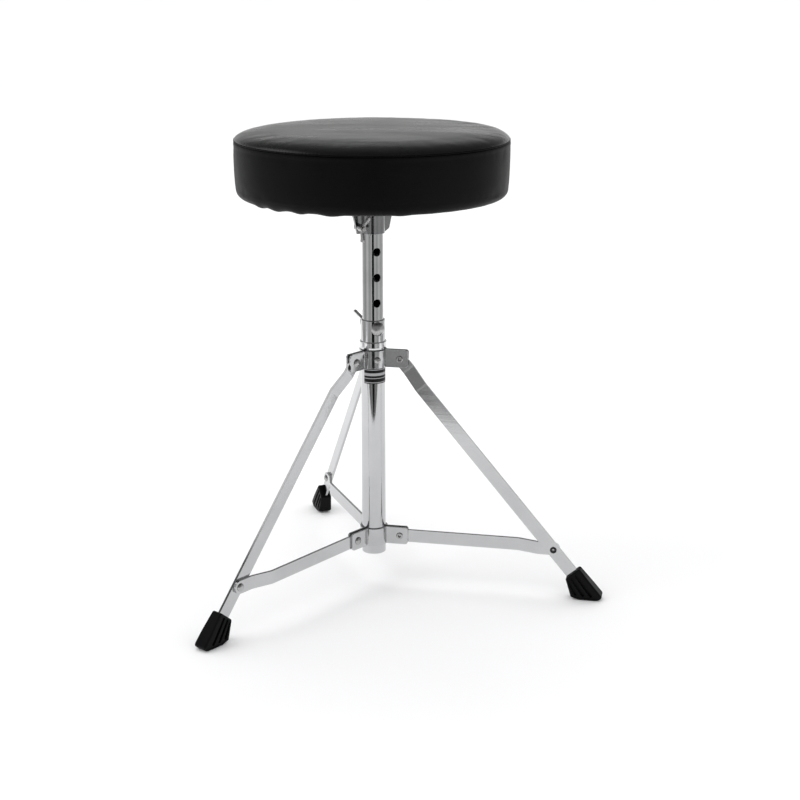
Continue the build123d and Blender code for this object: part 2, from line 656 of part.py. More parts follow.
with BuildPart() as cover_top:
    with BuildSketch(UPRIGHT):
        with BuildLine():
            outer, inner = rim(0.0), rim(VINYL)
            Line(outer[0], outer[1])
            Bezier(*outer[1:])
            Line(outer[4], inner[4])
            Bezier(*reversed(inner[1:]))
            Line(inner[1], inner[0])
            Line(inner[0], outer[0])
        make_face()
    revolve(axis=TURN_AXIS)
finish(cover_top.part, "cover_top")

with BuildPart() as cover_band:
    with BuildSketch(UPRIGHT) as band_section:
        with BuildLine():
            Polyline(
                (SEAT_R, SEAM_Z),
                (SEAT_BOTTOM_R, SEAT_BOTTOM + SEAT_CORNER),
                (SEAT_BOTTOM_R, SEAT_BOTTOM),
                (LIP_R, SEAT_BOTTOM),
                (LIP_R, SEAT_BOTTOM + VINYL),
                (SEAT_BOTTOM_R - VINYL, SEAT_BOTTOM + VINYL),
                (SEAT_BOTTOM_R - VINYL, SEAT_BOTTOM + SEAT_CORNER),
                (SEAT_R - VINYL, SEAM_Z),
                close=True,
            )
        make_face()
        hard = band_section.vertices().filter_by(lambda v: v.X > 140 and v.Y < SEAT_BOTTOM + 0.5)
        fillet(hard, SEAT_CORNER - 1.0)
        soft = band_section.vertices().filter_by(lambda v: v.X > 140 and SEAT_BOTTOM + 0.5 < v.Y < SEAT_BOTTOM + 2)
        fillet(soft, SEAT_CORNER - 1.0 - VINYL)
    revolve(axis=TURN_AXIS)
finish(cover_band.part, "cover_band")

FOAM_Z0 = BOARD_Z0 + BOARD_T
with BuildPart() as seat_foam:
    with BuildSketch(UPRIGHT):
        with BuildLine():
            gap = VINYL + 0.15
            foam = rim(gap)
            Line(foam[0], foam[1])
            Bezier(*foam[1:])
            Polyline(foam[4], (SEAT_BOTTOM_R - gap, SEAT_BOTTOM + SEAT_CORNER), (SEAT_BOTTOM_R - gap, FOAM_Z0 + 0.02), (0, FOAM_Z0 + 0.02), foam[0])
        make_face()
    revolve(axis=TURN_AXIS)
finish(seat_foam.part, "seat_foam")

STAPLES = 24
with BuildPart() as staples:
    for k in range(STAPLES):
        az = 360.0 / STAPLES * (k + 0.5)
        here = Plane(origin=spot(az, LIP_R + 7.0, 0, SEAT_BOTTOM - 0.01), x_dir=side(az), z_dir=(0, 0, -1))
        with BuildSketch(here):
            Rectangle(10.0, 1.2)
        extrude(amount=0.6)
finish(staples.part, "staples")

# ---------------------------------------------------------------------------
# Kinematic figures for the record
# ---------------------------------------------------------------------------
if __name__ == "__main__":
    folded = radians(10.5)
    p = (PIVOT_R + LEG_PIVOTS * sin(folded), TOP_PIVOT_Z - LEG_PIVOTS * cos(folded))
    rise = (STAY_PIVOTS**2 - (p[0] - PIVOT_R) ** 2) ** 0.5
    travel = p[1] + rise - RUNNER_PIVOT_Z
    swing = atan2(rise, p[0] - PIVOT_R) - PSI
    print("theta", degrees(THETA), "psi", degrees(PSI), "leg", LEG_PIVOTS, "stay", STAY_PIVOTS)
    print("travel", travel, "leg turn", degrees(THETA - folded), "stay turn", degrees(swing), "post bottom", POST_BOTTOM)
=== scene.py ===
import math
import random

import bmesh
import bpy
import numpy as np
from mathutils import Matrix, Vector, noise
from mathutils.bvhtree import BVHTree


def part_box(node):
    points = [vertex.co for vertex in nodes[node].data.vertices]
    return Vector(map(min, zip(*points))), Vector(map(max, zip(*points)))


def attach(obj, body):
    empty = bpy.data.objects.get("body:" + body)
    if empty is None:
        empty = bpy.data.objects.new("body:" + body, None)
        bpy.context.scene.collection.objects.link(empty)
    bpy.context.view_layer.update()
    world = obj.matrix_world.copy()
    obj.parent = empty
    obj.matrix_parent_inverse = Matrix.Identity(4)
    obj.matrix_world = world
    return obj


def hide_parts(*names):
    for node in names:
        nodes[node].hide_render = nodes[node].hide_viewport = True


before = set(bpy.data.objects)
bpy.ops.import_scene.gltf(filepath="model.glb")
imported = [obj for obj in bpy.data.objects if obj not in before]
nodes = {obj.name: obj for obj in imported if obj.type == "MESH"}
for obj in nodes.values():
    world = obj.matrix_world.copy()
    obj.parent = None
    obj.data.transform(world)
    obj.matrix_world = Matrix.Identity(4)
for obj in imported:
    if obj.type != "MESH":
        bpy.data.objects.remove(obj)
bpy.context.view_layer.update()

scene = bpy.context.scene
MM = 0.001

# ---------------------------------------------------------------------------
# Key figures of the frame, in metres
# ---------------------------------------------------------------------------
lo_tube, hi_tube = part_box("base_tube")
AXIS = Vector(((lo_tube[0] + hi_tube[0]) / 2, (lo_tube[1] + hi_tube[1]) / 2, 0.0))
LEG_AZ = {1: 0.0, 2: 120.0, 3: -120.0}
LABEL_AZ = -60.0
CAM_AZ = -77.63
SEAT_R = 152.8 * MM
SEAM_Z = 523.8 * MM
SEAT_BOTTOM = 462.4 * MM


def ray(az):
    return Vector((math.cos(math.radians(az)), math.sin(math.radians(az)), 0.0))


def side(az):
    return Vector((-math.sin(math.radians(az)), math.cos(math.radians(az)), 0.0))


def spot(az, r, t, z):
    return AXIS + ray(az) * r + side(az) * t + Vector((0, 0, z))


# ---------------------------------------------------------------------------
# Camera, floor, light
# ---------------------------------------------------------------------------
cam_data = bpy.data.cameras.new("camera")
cam_data.sensor_fit = "HORIZONTAL"
cam_data.sensor_width = 36.0
cam_data.lens = 70.87
cam_data.clip_start = 0.05
cam_data.clip_end = 200.0
camera = bpy.data.objects.new("camera", cam_data)
scene.collection.objects.link(camera)
camera.location = spot(CAM_AZ, 1.7520, 0.0, 0.7369)
yaw, pitch = math.radians(102.37 - 1.009), math.radians(16.342)
look = Vector((math.cos(yaw) * math.cos(pitch), math.sin(yaw) * math.cos(pitch), -math.sin(pitch)))
camera.rotation_euler = look.to_track_quat("-Z", "Y").to_euler()
scene.camera = camera
scene.view_settings.view_transform = "Standard"
scene.view_settings.look = "None"


def new_mesh(name, verts, faces, smooth=True):
    me = bpy.data.meshes.new(name)
    me.from_pydata([tuple(v) for v in verts], [], faces)
    me.update()
    if smooth:
        me.polygons.foreach_set("use_smooth", [True] * len(me.polygons))
    ob = bpy.data.objects.new(name, me)
    scene.collection.objects.link(ob)
    return ob


def node_tree(name):
    mat = bpy.data.materials.new(name)
    mat.use_nodes = True
    nt = mat.node_tree
    bsdf = nt.nodes["Principled BSDF"]
    return mat, nt, bsdf


def only_glossy(ob):
    """Seen in reflections, and by nothing else."""
    ob.visible_camera = False
    ob.visible_diffuse = False
    ob.visible_transmission = False
    ob.visible_volume_scatter = False
    ob.visible_shadow = False


def emitter(name, colour, strength):
    mat = bpy.data.materials.new(name)
    mat.use_nodes = True
    nt = mat.node_tree
    nt.nodes.clear()
    out = nt.nodes.new("ShaderNodeOutputMaterial")
    em = nt.nodes.new("ShaderNodeEmission")
    em.inputs["Color"].default_value = (*colour, 1)
    em.inputs["Strength"].default_value = strength
    nt.links.new(em.outputs[0], out.inputs["Surface"])
    return mat


# floor: pale, with a painted shadow that darkens its colour near its centre, where the seat stands
floor = new_mesh("studio_floor", [(-40, -40, 0), (40, -40, 0), (40, 40, 0), (-40, 40, 0)], [(0, 1, 2, 3)], smooth=False)
floor.location.z = -0.0003
mat, nt, bsdf = node_tree("floor_white")
tc = nt.nodes.new("ShaderNodeTexCoord")
far = nt.nodes.new("ShaderNodeVectorMath")
far.operation = "LENGTH"
nt.links.new(tc.outputs["Object"], far.inputs[0])
# painted shadow: colour 0.87 out to 0.38 m from the floor's centre, paling to 0.97 at 1 m
floor_painted_shadow = nt.nodes.new("ShaderNodeValToRGB")
floor_painted_shadow.color_ramp.elements[0].position, floor_painted_shadow.color_ramp.elements[0].color = 0.38, (0.868, 0.868, 0.876, 1)
floor_painted_shadow.color_ramp.elements[1].position, floor_painted_shadow.color_ramp.elements[1].color = 1.0, (0.97, 0.97, 0.975, 1)
nt.links.new(far.outputs["Value"], floor_painted_shadow.inputs["Fac"])
nt.links.new(floor_painted_shadow.outputs["Color"], bsdf.inputs["Base Color"])
bsdf.inputs["Roughness"].default_value = 0.9
bsdf.inputs["Specular IOR Level"].default_value = 0.1
floor.data.materials.append(mat)

# what the bright metal sees: the room in front of the table, beyond its edge
fwd, lat = ray(CAM_AZ), side(CAM_AZ)


def card(name, corners, mat):
    pts = [AXIS + fwd * a + lat * b + Vector((0, 0, c)) for a, b, c in corners]
    ob = new_mesh(name, pts, [tuple(range(len(pts)))], smooth=False)
    ob.data.materials.append(mat)
    only_glossy(ob)
    return ob


room_dark = emitter("room_dark", (1, 1, 1), 0.008)
room_wall = emitter("room_wall", (1, 1, 1), 0.30)
TABLE, TABLE_SIDE = 0.66, 1.10
# brightness of the room floor by direction from the tube, in degrees off the camera's side
ROOM = [(-130, 0.60), (-107, 0.60), (-96, 0.46), (-86, 0.42), (-72, 0.64), (-60, 0.80), (-48, 0.62), (-38, 0.48), (-28, 0.44), (-16, 0.66), (-8, 0.64),
        (10, 0.46), (18, 0.62), (28, 0.66), (38, 0.50), (50, 0.50), (63, 0.72), (76, 0.72), (90, 0.50), (107, 0.62), (130, 0.60)]


def room_floor():
    angles = np.linspace(-130, 130, 131)
    level = np.interp(angles, [a for a, _ in ROOM], [v for _, v in ROOM])
    steps = (0.0, 0.10, 0.22, 0.36, 0.55, 0.9, 1.6, 4.5)
    verts, tints = [], []
    for a, v in zip(angles, level):
        c, s_ = math.cos(math.radians(a)), abs(math.sin(math.radians(a)))
        edge = min(TABLE / c if c > 0.05 else 1e9, TABLE_SIDE / max(s_, 1e-6))
        for d in steps:
            r = edge + d
            verts.append(AXIS + (fwd * math.cos(math.radians(a)) + lat * math.sin(math.radians(a))) * r + Vector((0, 0, 0.004)))
            near = min(1.0, max(0.0, (r - 0.84) / 0.46))
            tints.append(v * (0.44 + 0.56 * near * near * (3 - 2 * near)))
    n = len(steps)
    faces = [(i * n + k, (i + 1) * n + k, (i + 1) * n + k + 1, i * n + k + 1) for i in range(len(angles) - 1) for k in range(n - 1)]
    ob = new_mesh("room_floor", verts, faces)
    col = ob.data.color_attributes.new("tint", "FLOAT_COLOR", "POINT")
    for i, t in enumerate(tints):
        col.data[i].color = (t, t, t, 1)
    mat = emitter("room_floor", (1, 1, 1), 1.0)
    nt = mat.node_tree
    att = nt.nodes.new("ShaderNodeAttribute")
    att.attribute_name = "tint"
    nt.links.new(att.outputs["Color"], next(n_ for n_ in nt.nodes if n_.type == "EMISSION").inputs["Color"])
    ob.data.materials.append(mat)
    only_glossy(ob)


room_floor()
softbox = emitter("soft_box", (1, 1, 1), 0.95)
card("soft_box", [(-0.95, -1.75, 1.30), (0.35, -1.95, 1.30), (0.30, -1.35, 2.35), (-0.85, -1.20, 2.35)], softbox)
card("room_front", [(5.0, -9.0, 0.0), (5.0, 9.0, 0.0), (4.6, 9.0, 4.0), (4.6, -9.0, 4.0)], room_wall)
card("room_stand", [(TABLE, -0.02, 0.008), (0.95, -0.20, 0.008), (1.6, -0.36, 0.008), (4.5, -0.9, 0.008), (4.5, 0.9, 0.008), (1.6, 0.36, 0.008), (0.95, 0.20, 0.008), (TABLE, 0.02, 0.008)], room_dark)

# what it sees to each side, and overhead: grey flats and a dark ceiling with soft boxes
room_side = emitter("room_side", (0.99, 0.99, 1.0), 0.55)
for sign in (-1, 1):
    card(f"room_side_{'l' if sign < 0 else 'r'}", [(1.4, 2.3 * sign, 0.0), (-2.2, 2.3 * sign, 0.0), (-2.2, 2.3 * sign, 1.2), (1.4, 2.3 * sign, 1.2)], room_side)


def ceiling():
    """A dome over the set, seen by gloss alone: white low down, dark above."""
    rings, segs, radius = 24, 64, 7.0
    verts = [(AXIS.x + radius * math.cos(e) * math.cos(a), AXIS.y + radius * math.cos(e) * math.sin(a), radius * math.sin(e))
             for e in (math.radians(-4 + 94 * k / rings) for k in range(rings)) for a in (2 * math.pi * s / segs for s in range(segs))]
    verts.append((AXIS.x, AXIS.y, radius))
    faces = [(k * segs + s, k * segs + (s + 1) % segs, (k + 1) * segs + (s + 1) % segs, (k + 1) * segs + s) for k in range(rings - 1) for s in range(segs)]
    faces += [((rings - 1) * segs + s, (rings - 1) * segs + (s + 1) % segs, len(verts) - 1) for s in range(segs)]
    ob = new_mesh("room_ceiling", verts, faces)
    mat = emitter("room_ceiling", (1, 1, 1), 1.0)
    nt = mat.node_tree
    em = next(n for n in nt.nodes if n.type == "EMISSION")
    tc = nt.nodes.new("ShaderNodeTexCoord")
    sep = nt.nodes.new("ShaderNodeSeparateXYZ")
    nt.links.new(tc.outputs["Object"], sep.inputs["Vector"])
    high = nt.nodes.new("ShaderNodeMapRange")
    high.inputs["From Min"].default_value = 0.0
    high.inputs["From Max"].default_value = radius
    nt.links.new(sep.outputs["Z"], high.inputs["Value"])
    behind = ramp(nt, high.outputs["Result"], [(0.0, grey(1.0)), (0.21, grey(1.0)), (0.36, grey(0.28)), (0.52, grey(0.10)), (1.0, grey(0.09))])
    ahead = nt.nodes.new("ShaderNodeVectorMath")
    ahead.operation = "DOT_PRODUCT"
    nt.links.new(tc.outputs["Object"], ahead.inputs[0])
    ahead.inputs[1].default_value = tuple(fwd / radius)
    front = nt.nodes.new("ShaderNodeMapRange")
    front.inputs["From Min"].default_value = 0.25
    front.inputs["From Max"].default_value = 0.75
    nt.links.new(ahead.outputs["Value"], front.inputs["Value"])
    both = nt.nodes.new("ShaderNodeMix")
    both.data_type = "RGBA"
    nt.links.new(front.outputs["Result"], both.inputs[0])
    nt.links.new(behind, both.inputs[6])
    both.inputs[7].default_value = (0.16, 0.16, 0.16, 1)
    nt.links.new(both.outputs[2], em.inputs["Color"])
    ob.data.materials.append(mat)
    only_glossy(ob)


# light: an even white surround and one broad soft key from the upper left
world = bpy.data.worlds.new("studio")
scene.world = world
world.use_nodes = True
wbg = world.node_tree.nodes["Background"]
wbg.inputs["Color"].default_value = (1.0, 1.0, 1.0, 1)
wbg.inputs["Strength"].default_value = 1.04


def area(name, loc, target, size, power, spread=180):
    light = bpy.data.lights.new(name, "AREA")
    light.shape = "RECTANGLE"
    light.size, light.size_y = size
    light.energy = power
    light.spread = math.radians(spread)
    ob = bpy.data.objects.new(name, light)
    scene.collection.objects.link(ob)
    ob.location = loc
    ob.rotation_euler = (Vector(target) - Vector(loc)).to_track_quat("-Z", "Y").to_euler()
    ob.visible_glossy = False
    return ob


key = area("key_soft", AXIS + fwd * 0.4 - lat * 1.9 + Vector((0, 0, 2.4)), AXIS + Vector((0, 0, 0.2)), (1.6, 1.6), 16)
top = area("top_soft", AXIS - fwd * 1.2 + Vector((0, 0, 2.6)), AXIS + Vector((0, 0, 0.3)), (2.4, 1.4), 14)

# ---------------------------------------------------------------------------
# Materials
# ---------------------------------------------------------------------------


def coords(nt, scale=(1, 1, 1), rotation=(0, 0, 0)):
    tc = nt.nodes.new("ShaderNodeTexCoord")
    mp = nt.nodes.new("ShaderNodeMapping")
    mp.inputs["Scale"].default_value = scale
    mp.inputs["Rotation"].default_value = rotation
    nt.links.new(tc.outputs["Object"], mp.inputs["Vector"])
    return mp.outputs["Vector"]


def noise_tex(nt, vec, scale, detail=4.0, rough=0.55, distortion=0.0):
    n = nt.nodes.new("ShaderNodeTexNoise")
    n.inputs["Scale"].default_value = scale
    n.inputs["Detail"].default_value = detail
    n.inputs["Roughness"].default_value = rough
    n.inputs["Distortion"].default_value = distortion
    nt.links.new(vec, n.inputs["Vector"])
    return n.outputs["Fac"]


def ramp(nt, fac, stops):
    r = nt.nodes.new("ShaderNodeValToRGB")
    els = r.color_ramp.elements
    while len(els) > 1:
        els.remove(els[-1])
    els[0].position, els[0].color = stops[0][0], (*stops[0][1], 1)
    for pos, col in stops[1:]:
        e = els.new(pos)
        e.color = (*col, 1)
    nt.links.new(fac, r.inputs["Fac"])
    return r.outputs["Color"]


def grey(v):
    return (v, v, v)


ceiling()


def spread_value(nt, fac, low, high, a=0.3, b=0.7):
    m = nt.nodes.new("ShaderNodeMapRange")
    m.inputs["From Min"].default_value = a
    m.inputs["From Max"].default_value = b
    m.inputs["To Min"].default_value = low
    m.inputs["To Max"].default_value = high
    nt.links.new(fac, m.inputs["Value"])
    return m.outputs["Result"]


def math_node(nt, op, a, b=None, value=None):
    m = nt.nodes.new("ShaderNodeMath")
    m.operation = op
    nt.links.new(a, m.inputs[0])
    if b is not None:
        nt.links.new(b, m.inputs[1])
    elif value is not None:
        m.inputs[1].default_value = value
    return m.outputs[0]


def bump(nt, bsdf, height, strength, distance, bevel=0.0):
    b = nt.nodes.new("ShaderNodeBump")
    b.inputs["Strength"].default_value = strength
    b.inputs["Distance"].default_value = distance
    nt.links.new(height, b.inputs["Height"])
    if bevel:
        bv = nt.nodes.new("ShaderNodeBevel")
        bv.samples = 4
        bv.inputs["Radius"].default_value = bevel
        nt.links.new(bv.outputs["Normal"], b.inputs["Normal"])
    nt.links.new(b.outputs["Normal"], bsdf.inputs["Normal"])


def metal(name, colour, rough, streak_scale, rotation=(0, 0, 0), bump_strength=0.05, bevel=0.0003, tarnish=0.93):
    """Plated steel: polishing streaks along one way, faint clouding, soft pitting."""
    mat, nt, bsdf = node_tree(name)
    bsdf.inputs["Metallic"].default_value = 1.0
    vec = coords(nt, rotation=rotation)
    cloud = noise_tex(nt, vec, 34.0, 5.0, 0.6)
    lines_vec = coords(nt, scale=streak_scale, rotation=rotation)
    lines = noise_tex(nt, lines_vec, 1.0, 6.0, 0.65)
    fine = noise_tex(nt, vec, 1900.0, 2.0, 0.5)
    worn = tuple(c * tarnish for c in colour)
    base = ramp(nt, cloud, [(0.32, worn), (0.68, colour)])
    nt.links.new(base, bsdf.inputs["Base Color"])
    mixed = math_node(nt, "ADD", math_node(nt, "MULTIPLY", cloud, value=0.5), math_node(nt, "MULTIPLY", lines, value=0.5))
    nt.links.new(spread_value(nt, mixed, rough[0], rough[1]), bsdf.inputs["Roughness"])
    height = math_node(nt, "ADD", math_node(nt, "MULTIPLY", lines, value=0.8), math_node(nt, "MULTIPLY", fine, value=0.2))
    bump(nt, bsdf, height, bump_strength, 0.0004, bevel)
    return mat


def dull(name, colour, rough, grain_scale, bump_strength=0.2, distance=0.0003, bevel=0.0004, spec=0.5, vary=0.7):
    """Rubber and moulded plastic: fine grain, worn lighter in random patches."""
    mat, nt, bsdf = node_tree(name)
    vec = coords(nt)
    cloud = noise_tex(nt, vec, 45.0, 4.0, 0.6)
    grain = noise_tex(nt, vec, grain_scale, 3.0, 0.6)
    dark = tuple(c * vary for c in colour)
    nt.links.new(ramp(nt, cloud, [(0.3, dark), (0.7, colour)]), bsdf.inputs["Base Color"])
    nt.links.new(spread_value(nt, cloud, rough[0], rough[1]), bsdf.inputs["Roughness"])
    bsdf.inputs["Specular IOR Level"].default_value = spec
    bump(nt, bsdf, grain, bump_strength, distance, bevel)
    return mat


def vinyl(name, spec, rough, sheen):
    """Black grained vinyl: closed-cell grain, soft unevenness, light dust on the gloss."""
    mat, nt, bsdf = node_tree(name)
    vec = coords(nt)
    cloud = noise_tex(nt, vec, 9.0, 5.0, 0.55, 0.4)
    streak_vec = coords(nt, scale=(4.0, 15.0, 12.0), rotation=(0, 0, math.radians(-14)))
    streaks = noise_tex(nt, streak_vec, 1.0, 5.0, 0.6, 0.6)
    vor = nt.nodes.new("ShaderNodeTexVoronoi")
    vor.feature = "DISTANCE_TO_EDGE"
    vor.inputs["Scale"].default_value = 820.0
    nt.links.new(vec, vor.inputs["Vector"])
    cells = ramp(nt, vor.outputs["Distance"], [(0.0, grey(0.0)), (0.28, grey(1.0))])
    pores = noise_tex(nt, vec, 1500.0, 3.0, 0.6)
    base = ramp(nt, cloud, [(0.3, (0.0014, 0.0014, 0.0015)), (0.75, (0.0030, 0.0030, 0.0032))])
    nt.links.new(base, bsdf.inputs["Base Color"])
    mix = math_node(nt, "ADD", math_node(nt, "MULTIPLY", streaks, value=0.7), math_node(nt, "MULTIPLY", cloud, value=0.3))
    nt.links.new(spread_value(nt, mix, rough[0], rough[1], 0.32, 0.68), bsdf.inputs["Roughness"])
    bsdf.inputs["Specular IOR Level"].default_value = spec
    bsdf.inputs["Sheen Weight"].default_value = sheen
    bsdf.inputs["Sheen Roughness"].default_value = 0.4
    height = math_node(nt, "ADD", math_node(nt, "MULTIPLY", cells, value=0.65), math_node(nt, "MULTIPLY", pores, value=0.35))
    wide = math_node(nt, "ADD", math_node(nt, "MULTIPLY", height, value=0.30), math_node(nt, "MULTIPLY", streaks, value=0.55))
    bump(nt, bsdf, wide, 0.28, 0.0006)
    return mat


def rivet_painted_shade_highlight(name, centre):
    """Dark ring painted round a bright middle: painted shade in the rolled ring, painted highlight on the punched
    middle.
    """
    mat, nt, bsdf = node_tree(name)
    bsdf.inputs["Metallic"].default_value = 1.0
    tc = nt.nodes.new("ShaderNodeTexCoord")
    d = nt.nodes.new("ShaderNodeVectorMath")
    d.operation = "DISTANCE"
    nt.links.new(tc.outputs["Object"], d.inputs[0])
    d.inputs[1].default_value = tuple(centre)
    m = nt.nodes.new("ShaderNodeMapRange")
    m.inputs["From Max"].default_value = 0.005
    nt.links.new(d.outputs["Value"], m.inputs["Value"])
    # colour by distance from the rivet's centre: a painted highlight in the middle, painted shade from the ring
    # outwards
    nt.links.new(ramp(nt, m.outputs["Result"], [(0.0, grey(0.62)), (0.24, grey(0.50)), (0.40, grey(0.05)), (0.70, grey(0.035)), (0.86, grey(0.16)), (1.0, grey(0.22))]), bsdf.inputs["Base Color"])
    rub = noise_tex(nt, coords(nt), 900.0, 3.0, 0.6)
    nt.links.new(spread_value(nt, rub, 0.22, 0.38), bsdf.inputs["Roughness"])
    bump(nt, bsdf, rub, 0.08, 0.0003, 0.0002)
    return mat


def plywood(name):
    mat, nt, bsdf = node_tree(name)
    vec = coords(nt, scale=(6.0, 90.0, 300.0))
    rings = noise_tex(nt, vec, 1.0, 6.0, 0.6, 1.2)
    fibres = noise_tex(nt, coords(nt, scale=(30.0, 900.0, 500.0)), 1.0, 3.0, 0.6)
    col = ramp(nt, rings, [(0.28, (0.014, 0.012, 0.011)), (0.5, (0.026, 0.023, 0.021)), (0.72, (0.044, 0.039, 0.035))])
    nt.links.new(col, bsdf.inputs["Base Color"])
    nt.links.new(spread_value(nt, fibres, 0.6, 0.85), bsdf.inputs["Roughness"])
    bump(nt, bsdf, fibres, 0.25, 0.0002, 0.0006)
    return mat


def label_paint(name, z0, z1):
    """Plain black film with a thin pale border near its two edges and no lettering."""
    mat, nt, bsdf = node_tree(name)
    tc = nt.nodes.new("ShaderNodeTexCoord")
    sep = nt.nodes.new("ShaderNodeSeparateXYZ")
    nt.links.new(tc.outputs["Object"], sep.inputs["Vector"])
    m = nt.nodes.new("ShaderNodeMapRange")
    m.inputs["From Min"].default_value = z0
    m.inputs["From Max"].default_value = z1
    nt.links.new(sep.outputs["Z"], m.inputs["Value"])
    black, pale = (0.004, 0.004, 0.0045), (0.36, 0.36, 0.37)
    line = ramp(nt, m.outputs["Result"], [(0.0, black), (0.050, black), (0.056, pale), (0.098, pale), (0.104, black), (0.33, black), (0.335, pale), (0.375, pale), (0.38, black), (0.52, black), (0.525, pale), (0.70, pale), (0.705, black), (0.896, black), (0.902, pale), (0.944, pale), (0.950, black)])
    nt.links.new(line, bsdf.inputs["Base Color"])
    vec = coords(nt)
    scuffs = noise_tex(nt, vec, 160.0, 5.0, 0.6)
    nt.links.new(spread_value(nt, scuffs, 0.30, 0.48), bsdf.inputs["Roughness"])
    bsdf.inputs["Specular IOR Level"].default_value = 0.22
    bump(nt, bsdf, scuffs, 0.06, 0.0003, 0.0002)
    return mat


chrome_tube = metal("chrome_tube", (0.535, 0.538, 0.544), (0.035, 0.085), (420.0, 420.0, 3.0), bump_strength=0.035)
chrome_post = metal("chrome_post", (0.53, 0.533, 0.537), (0.03, 0.07), (300.0, 300.0, 2.0), bump_strength=0.03, tarnish=0.86)
chrome_press = metal("chrome_pressed", (0.53, 0.533, 0.538), (0.07, 0.16), (90.0, 90.0, 60.0), bump_strength=0.05, bevel=0.0006, tarnish=0.86)
chrome_clamp = metal("chrome_clamp", (0.285, 0.287, 0.291), (0.10, 0.20), (90.0, 90.0, 40.0), bump_strength=0.06, bevel=0.0006, tarnish=0.80)
zinc = metal("zinc_fastener", (0.50, 0.50, 0.495), (0.14, 0.30), (260.0, 260.0, 260.0), bump_strength=0.10, bevel=0.0003, tarnish=0.80)
# painted highlight: the collar gets a brighter copy of the tube's chrome (0.70 against 0.535)
collar_painted_highlight = metal("chrome_collar", (0.70, 0.703, 0.708), (0.06, 0.12), (200.0, 200.0, 8.0), bump_strength=0.03)
domed = metal("plated_dome", (0.50, 0.50, 0.497), (0.24, 0.36), (180.0, 180.0, 180.0), bump_strength=0.08, bevel=0.0003, tarnish=0.84)
rubber = dull("foot_rubber", (0.0040, 0.0040, 0.0043), (0.34, 0.52), 700.0, 0.22, 0.0004, 0.0006, 0.08)
plug_mat = dull("plug_plastic", (0.022, 0.022, 0.023), (0.40, 0.55), 500.0, 0.15)
foam_mat = dull("foam_open_cell", (0.70, 0.64, 0.46), (0.85, 0.95), 420.0, 0.8, 0.0012, 0.0, 0.1, 0.85)
board_mat = plywood("stained_ply")
lo_label, hi_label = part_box("label_band")
label_mat = label_paint("label_film", lo_label[2], hi_label[2])
vinyl_top = vinyl("black_vinyl_top", 0.58, (0.23, 0.35), 0.02)
vinyl_band = vinyl("black_vinyl_band", 0.10, (0.40, 0.52), 0.0)


def strip_metal(name, az):
    return metal(name, (0.555, 0.558, 0.563), (0.07, 0.16), (20.0, 260.0, 260.0), rotation=(0, math.radians(40), math.radians(-az)), bump_strength=0.07, bevel=0.0005)


def dress(node, mat):
    ob = nodes[node]
    if not ob.material_slots:
        ob.data.materials.append(mat)
    for s in ob.material_slots:
        s.material = mat


for i, az in LEG_AZ.items():
    strip = strip_metal(f"chrome_strip_{i}", az)
    dress(f"leg_{i}", strip)
    dress(f"stay_{i}", strip)
    dress(f"foot_{i}", rubber)
    dress(f"rivet_head_{i}", zinc)
    dress(f"rivet_tail_{i}", rivet_painted_shade_highlight(f"rivet_painted_shade_highlight_{i}", spot(az, 214.2 * MM, -8.5 * MM, 56.8 * MM)))
    dress(f"top_bracket_{i}", chrome_press)
    dress(f"runner_bracket_{i}", chrome_press)
dress("base_tube", chrome_tube)
dress("stop_collar", collar_painted_highlight)
dress("seat_post", chrome_post)
for n in ("seat_clamp_front", "seat_clamp_rear"):
    dress(n, chrome_clamp)
for n in ("top_rivets", "runner_rivets", "bracket_screw", "height_wing_nut", "clamp_bolt", "clamp_wing_nut", "board_screws", "t_nuts", "staples"):
    dress(n, zinc)
dress("height_bolt", domed)
dress("tube_plug", plug_mat)
dress("seat_board", board_mat)
dress("seat_foam", foam_mat)
dress("label_band", label_mat)

# ---------------------------------------------------------------------------
# Seat cushion
# ---------------------------------------------------------------------------


def top_height(r):
    u = min(abs(r) / SEAT_R, 1.0)
    shoulder = max(0.0, (u - 0.52) / 0.48)
    return SEAM_Z + 8.5 * MM * (1 - u ** 14) ** (1 / 1.85) + 1.3 * MM * (1 - u * u) + 1.8 * MM * (1 - shoulder * shoulder)


BAND_R = 151.5 * MM
CORNER = 8.8 * MM


